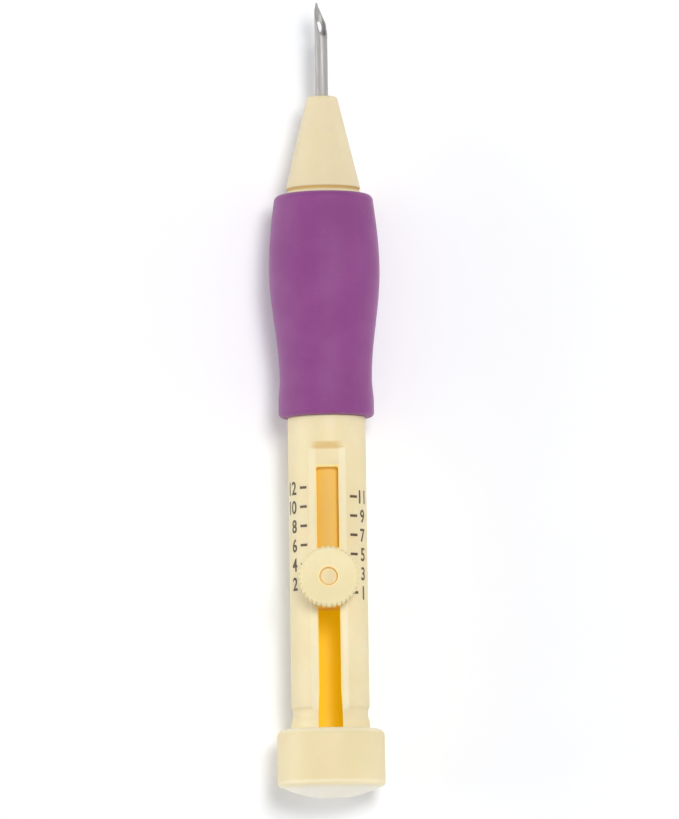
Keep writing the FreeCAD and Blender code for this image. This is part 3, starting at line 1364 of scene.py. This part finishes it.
@dataclass
class Clamp:
    """The saddle washer and the knurled knob on the holder's stud."""

    washer_low: float = 6.57
    washer_top: float = 6.97
    washer_length: float = 5.6
    flange: float = 1.4
    flat_half: float = 3.327
    barrel: float = 7.32
    hole: float = 2.05
    knob: float = 5.65
    knob_base: float = 7.47
    knob_top: float = 12.07
    boss: float = 3.95
    chamfer: float = 0.45
    boss_edge: float = 0.12
    rim_edge: Point = (0.07, 0.25)
    face_edge: float = 0.12
    lead: float = 0.15
    hole_edge: float = 0.14
    face_ring: float = 3.6
    thread_hole: float = 1.71
    knurls: int = 36
    knurl_depth: float = 0.3
    # share of the knurl's depth at each column of one groove
    groove: tuple[float, ...] = (0.0, 0.0, 0.35, 1.0, 0.35, 0.0)

    def washer(self) -> bpy.types.Object:
        """Models the washer, a sheet bent down on both sides of the flat.

        Returns:
            The washer.
        """
        bend = math.asin(self.flat_half / self.barrel)
        clear_selection()
        bpy.ops.mesh.primitive_plane_add(size=1.0)
        size = (2 * self.flat_half * MM, self.washer_length * MM, 1.0)
        sheet = placed("washer_saddle", Axis.KNOB.spot(self.washer_low), size)
        for side in (-1, 1):
            edit("DESELECT", "EDGE")
            bpy.ops.object.mode_set(mode="OBJECT")
            corners = sheet.data.vertices
            rim = side * self.flat_half * MM
            for edge in sheet.data.edges:
                edge.select = all(abs(corners[i].co.x - rim) < WELD for i in edge.vertices)
            bpy.ops.object.mode_set(mode="EDIT")
            out = Vector((side * math.cos(bend), 0.0, -math.sin(bend))) * self.flange * MM
            bpy.ops.mesh.extrude_region_move(TRANSFORM_OT_translate={"value": out})
            bpy.ops.object.mode_set(mode="OBJECT")
        edit()
        close_up()
        if sheet.data.polygons[0].normal.z < 0:
            sheet.data.flip_normals()
        thick = (self.washer_top - self.washer_low) * MM
        modify(sheet, "SOLIDIFY", thickness=thick, offset=1.0)
        clear_selection()
        bpy.ops.mesh.primitive_cylinder_add(vertices=64, radius=self.hole * MM, depth=6 * MM)
        carve(sheet, placed("hole_cutter", Axis.KNOB.spot(7.0)))
        soften(sheet, 0.08, 15)
        smooth(sheet)
        return sheet

    def knob_rings(self) -> list[Triple]:
        """Lists the rings that the knob is drawn through.

        Returns:
            Radius, height above the pen's axis and groove depth of each.
        """
        deep, face = self.knurl_depth, self.knob - self.chamfer
        base, top, foot = self.knob_base, self.knob_top, self.washer_top
        near, far = self.rim_edge
        return [
            (self.thread_hole, foot + self.lead, 0.0),
            (self.thread_hole + self.lead, foot, 0.0),
            (self.boss - self.boss_edge, foot, 0.0),
            (self.boss, foot + self.boss_edge, 0.0),
            (self.boss, base, 0.0),
            (self.knob - far, base, deep * 0.8),
            (self.knob - near, base + near, deep),
            (self.knob, base + far, deep),
            (self.knob, top - self.chamfer - 0.1, deep),
            (self.knob - near, top - self.chamfer + 0.03, deep),
            (face + 0.1, top - self.face_edge, deep * 0.35),
            (face, top - 0.03, 0.0),
            (face - self.face_edge, top, 0.0),
            (self.face_ring, top, 0.0),
            (self.thread_hole + self.hole_edge, top, 0.0),
            (self.thread_hole, top - self.hole_edge, 0.0),
        ]

    def draw_up(self, knob: bpy.types.Object, before: Triple, after: Triple) -> None:
        """Draws the knob's open ring on to the next one, groove columns less than the rest.

        Args:
            knob: the knob in edit mode, its last ring selected.
            before: radius, height and groove depth of that ring.
            after: the same of the next ring.
        """
        centre = Axis.KNOB.spot(after[1])
        columns = self.knurls * len(self.groove)
        move = (0.0, 0.0, (after[1] - before[1]) * MM)
        bpy.ops.mesh.extrude_region_move(TRANSFORM_OT_translate={"value": move})
        shell = bmesh.from_edit_mesh(knob.data)
        ring = [corner for corner in shell.verts if corner.select]
        shares = {}
        for corner in ring:
            turn = math.atan2(corner.co.y - centre.y, corner.co.x - centre.x)
            number = round(turn / (2 * math.pi) * columns)
            shares[corner] = self.groove[number % len(self.groove)]
        for share in sorted(set(self.groove)):
            for corner in ring:
                corner.select_set(shares[corner] == share)
            shell.select_flush_mode()
            bmesh.update_edit_mesh(knob.data)
            grow = (after[0] - share * after[2]) / (before[0] - share * before[2])
            bpy.ops.transform.resize(value=(grow, grow, 1.0), center_override=centre)
        for corner in ring:
            corner.select_set(True)
        shell.select_flush(True)
        bmesh.update_edit_mesh(knob.data)

    def knob_body(self) -> bpy.types.Object:
        """Models the knob, drawn up ring by ring with its knurl.

        Returns:
            The knob.
        """
        rings = self.knob_rings()
        clear_selection()
        bpy.ops.mesh.primitive_circle_add(
            vertices=self.knurls * len(self.groove), radius=rings[0][0] * MM
        )
        knob = placed("knob_body", Axis.KNOB.spot(rings[0][1]))
        edit()
        for before, after in zip(rings, rings[1:] + rings[:1]):
            self.draw_up(knob, before, after)
        close_up()
        smooth(knob, 32)
        return knob

    def build(self, steel: bpy.types.Material, plastic: bpy.types.Material) -> None:
        """Models the washer and the knob and dresses them.

        Args:
            steel: the washer's finish.
            plastic: the knob's finish.
        """
        dress(self.washer(), steel, "washer", "bright_steel", "clamp_washer")
        dress(self.knob_body(), plastic, "knob", "cream_plastic", "clamp_knob")


# ---------------------------------------------------------------------------
# Studio
# ---------------------------------------------------------------------------


@dataclass(frozen=True)
class SoftBox:
    """A square area lamp that looks at the pen."""

    name: str
    place: Triple
    size: float
    watts: float
    colour: Triple = (1.0, 1.0, 1.0)

    def build(self) -> None:
        """Hangs the lamp and turns it to the pen."""
        lamp = bpy.data.lights.new(self.name, "AREA")
        lamp.size, lamp.energy, lamp.color = self.size, self.watts, self.colour
        box = bpy.data.objects.new(self.name, lamp)
        bpy.context.scene.collection.objects.link(box)
        box.location = self.place
        box.rotation_euler = Vector(self.place).to_track_quat("Z", "Y").to_euler()


@dataclass(frozen=True)
class Studio:
    """The floor, the lamps, the surroundings and the camera."""

    camera_reach: float = 1.5
    camera_tilt: float = 5.3
    camera_roll: float = -0.84
    lens: float = 350.4
    sensor: float = 36.0
    aim: Triple = (2.48, -2.1, 10.4)
    surround: float = 0.3
    floor_size: float = 3.0
    floor_glow: float = 0.07
    lamps: tuple[SoftBox, ...] = (
        SoftBox("key_box", (0.19, 0.2, 1.0), 0.3, 5.9, (1.0, 0.995, 0.985)),
        SoftBox("left_box", (-1.0, 0.05, 0.2), 0.6, 4.6),
        SoftBox("right_box", (1.0, 0.1, 0.25), 0.6, 1.6),
        SoftBox("front_box", (0.1, -1.0, 0.35), 0.8, 3.4),
    )

    def floor(self) -> None:
        """Lays a plain pale floor that shows white to the camera but for the shadow."""
        clear_selection()
        bpy.ops.mesh.primitive_plane_add(size=self.floor_size)
        floor = placed("table")
        material = bpy.data.materials.new("table_white")
        material.use_nodes = True
        wires = Wiring(material.node_tree)
        shader = wires.tree.nodes["Principled BSDF"]
        place = wires.add("TexCoord").outputs["Object"]
        fibre = {"Vector": place, "Scale": 400.0, "Detail": 3.0}
        share = wires.add("TexNoise", fibre).outputs[0]
        pale = wires.mix((0.93, 0.94, 0.97), (0.95, 0.96, 0.99), share=share)
        wires.feed(shader.inputs["Base Color"], pale)
        wires.feed(shader.inputs["Roughness"], 0.9)
        seen = wires.add("LightPath").outputs
        view = wires.math("MAXIMUM", seen["Is Camera Ray"], seen["Is Glossy Ray"])
        view = wires.math("MAXIMUM", view, seen["Is Transmission Ray"])
        strength = wires.math("MULTIPLY", view, self.floor_glow)
        glow = wires.add("Emission", {"Color": (1.0, 1.0, 1.0, 1.0), "Strength": strength})
        both = wires.add("AddShader", {0: shader.outputs[0], 1: glow.outputs[0]})
        wires.feed(wires.tree.nodes["Material Output"].inputs["Surface"], both.outputs[0])
        floor.data.materials.append(material)

    def surroundings(self) -> None:
        """Sets an even pale surround that the camera sees as white."""
        world = bpy.data.worlds.new("studio_air")
        bpy.context.scene.world = world
        world.use_nodes = True
        wires = Wiring(world.node_tree)
        back = world.node_tree.nodes["Background"]
        seen = wires.add("LightPath").outputs["Is Camera Ray"]
        level = wires.add("MapRange", {0: seen, 3: self.surround, 4: 1.0}).outputs[0]
        wires.feed(back.inputs["Strength"], level)
        wires.feed(back.inputs["Color"], (1.0, 1.0, 1.0, 1.0))

    def camera(self) -> None:
        """Sets the camera almost straight above the pen, leaning a little to the cap."""
        lens = bpy.data.cameras.new("view")
        lens.sensor_width, lens.lens, lens.clip_end = self.sensor, self.lens, 10.0
        eye = bpy.data.objects.new("view", lens)
        bpy.context.scene.collection.objects.link(eye)
        tilt, turn = math.radians(self.camera_tilt), math.radians(self.camera_roll)
        back = Vector((0.0, -math.sin(tilt), math.cos(tilt)))
        up = Vector((0.0, math.cos(tilt), math.sin(tilt)))
        right = up.cross(back)
        across = right * math.cos(turn) + up * math.sin(turn)
        upright = up * math.cos(turn) - right * math.sin(turn)
        place = Vector(self.aim) * MM + back * self.camera_reach
        stand = Matrix((across, upright, back)).transposed().to_4x4()
        stand.translation = place
        eye.matrix_world = stand
        bpy.context.scene.camera = eye

    def build(self) -> None:
        """Builds the whole studio."""
        self.floor()
        self.surroundings()
        self.camera()
        for lamp in self.lamps:
            lamp.build()
        bpy.context.scene.view_settings.view_transform = "Standard"


def corners(box: Iterable[Iterable[float]]) -> list[list[float]]:
    """Returns a box's corners as plain lists of numbers."""
    return [[float(value) for value in corner] for corner in box]


def main() -> None:
    """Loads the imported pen, builds its dressed pieces and the studio."""
    logging.basicConfig(level=logging.INFO, format="%(name)s %(message)s")
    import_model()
    effects = Effects(moulding_group(), depth_group(), zone_group())
    barrel = MouldedPlastic(
        "ivory_barrel",
        tone(238, 225, 184),
        tone(235, 219, 174),
        # Painted glow: golden colour and emission on the bore and the slot's inner walls, for light
        # through the plastic.
        tone(238, 186, 18),
        glow=(0.17, 0.165, 0.0),
        translucency=0.4,
        tints=(
            # Painted highlight: paler bands on the flat beside the slot.
            Tint(tone(246, 238, 212), (2.3, 3.35), (16.5, 65.4), (6.3, 7.5), strength=0.5),
            # Painted glow: yellow along the slot's edges, for light through the thin wall.
            Tint(tone(250, 228, 160), (0.0, 2.3), (16.5, 62.2), (6.0, 7.5), (0.2, 0.25, 0.4)),
            # Painted shade: darker amber on the ramp at the flat's top end.
            Tint(tone(228, 200, 140), (0.0, 1.6), (65.5, 66.4), (6.5, 7.5), (1.8, 0.5, 0.3)),
        ),
    )
    round_cone, round_cap = (-8.0, 8.0), (-11.0, 11.0)
    cone = MouldedPlastic(
        "ivory_cone",
        tone(236, 222, 186),
        tone(232, 217, 178),
        # Painted glow: golden tone near the cone's bore, reaching its thin tip.
        tone(238, 200, 110),
        core_near=1.2,
        core_far=3.0,
        tints=(
            # Painted shade: deep golden ring in the crease between collar and cone.
            Tint(tone(216, 184, 118), (0.0, 8.0), (114.55, 114.85), round_cone, (0.3, 0.35, 0.3)),
        ),
    )
    cap = MouldedPlastic(
        "ivory_cap",
        tone(238, 223, 180),
        tone(234, 218, 172),
        # Painted glow: deeper golden tone round the yarn hole.
        tone(232, 208, 150),
        core_near=1.0,
        core_far=2.3,
        tints=(
            # Painted highlight: paler dome at the cap's end.
            Tint(tone(244, 239, 223), (0.0, 11.0), (-1.0, 1.5), round_cap, (0.3, 1.3, 0.3)),
            # Painted highlight: a pale line where the dome meets the side.
            Tint(tone(248, 240, 214), (0.0, 8.6), (2.9, 3.1), round_cap, (2.0, 0.4, 0.3), 0.5),
            # Painted highlight: paler top rim round the socket.
            Tint(tone(246, 237, 212), (0.0, 8.6), (12.7, 13.3), round_cap, (1.2, 0.8, 0.3), 0.7),
        ),
    )
    knob = MouldedPlastic(
        "ivory_knob",
        tone(239, 226, 180),
        tone(235, 220, 171),
        # Painted shade and glow: an orange ring, in colour and emission, round the stud in the
        # knob's hole.
        tone(234, 204, 146),
        core_near=1.72,
        core_far=2.15,
        axis=Axis.KNOB,
        glow=(0.26, 0.19, 0.1),
        translucency=0.2,
    )
    holder = MouldedPlastic(
        "amber_holder",
        # The amber tones are partly the holder's own colour and partly painted glow for light
        # through the barrel's wall; the emission is painted glow.
        tone(231, 188, 95),
        tone(226, 181, 86),
        tone(228, 184, 88),
        glow=(0.08, 0.05, 0.008),
        translucency=0.1,
        tints=(Tint(tone(232, 220, 180), (0.0, 1.9), (38.0, 44.0), (9.5, 12.0)),),
    )
    rubber = SoftSleeve("purple_sleeve", tone(139, 63, 133), tone(134, 59, 128))
    steel = DrawnSteel("needle_steel", tone(192, 190, 188), tone(182, 180, 177), roughness=0.64)
    wire = DrawnSteel("spring_steel", tone(198, 196, 192), tone(176, 173, 168), (1.0, 1.0, 1.0))
    ink = PadInk("scale_ink", tone(84, 62, 36), tone(98, 75, 46))
    bright = steel.build(effects)
    EndCap().build(cap.build(effects))
    Barrel().build(barrel.build(effects), ink.build(effects))
    NoseCone().build(cone.build(effects))
    GripSleeve().build(rubber.build(effects))
    NeedleUnit().build(bright, holder.build(effects), wire.build(effects))
    Clamp().build(bright, knob.build(effects))
    Studio().build()


if __name__ == "__main__":
    main()
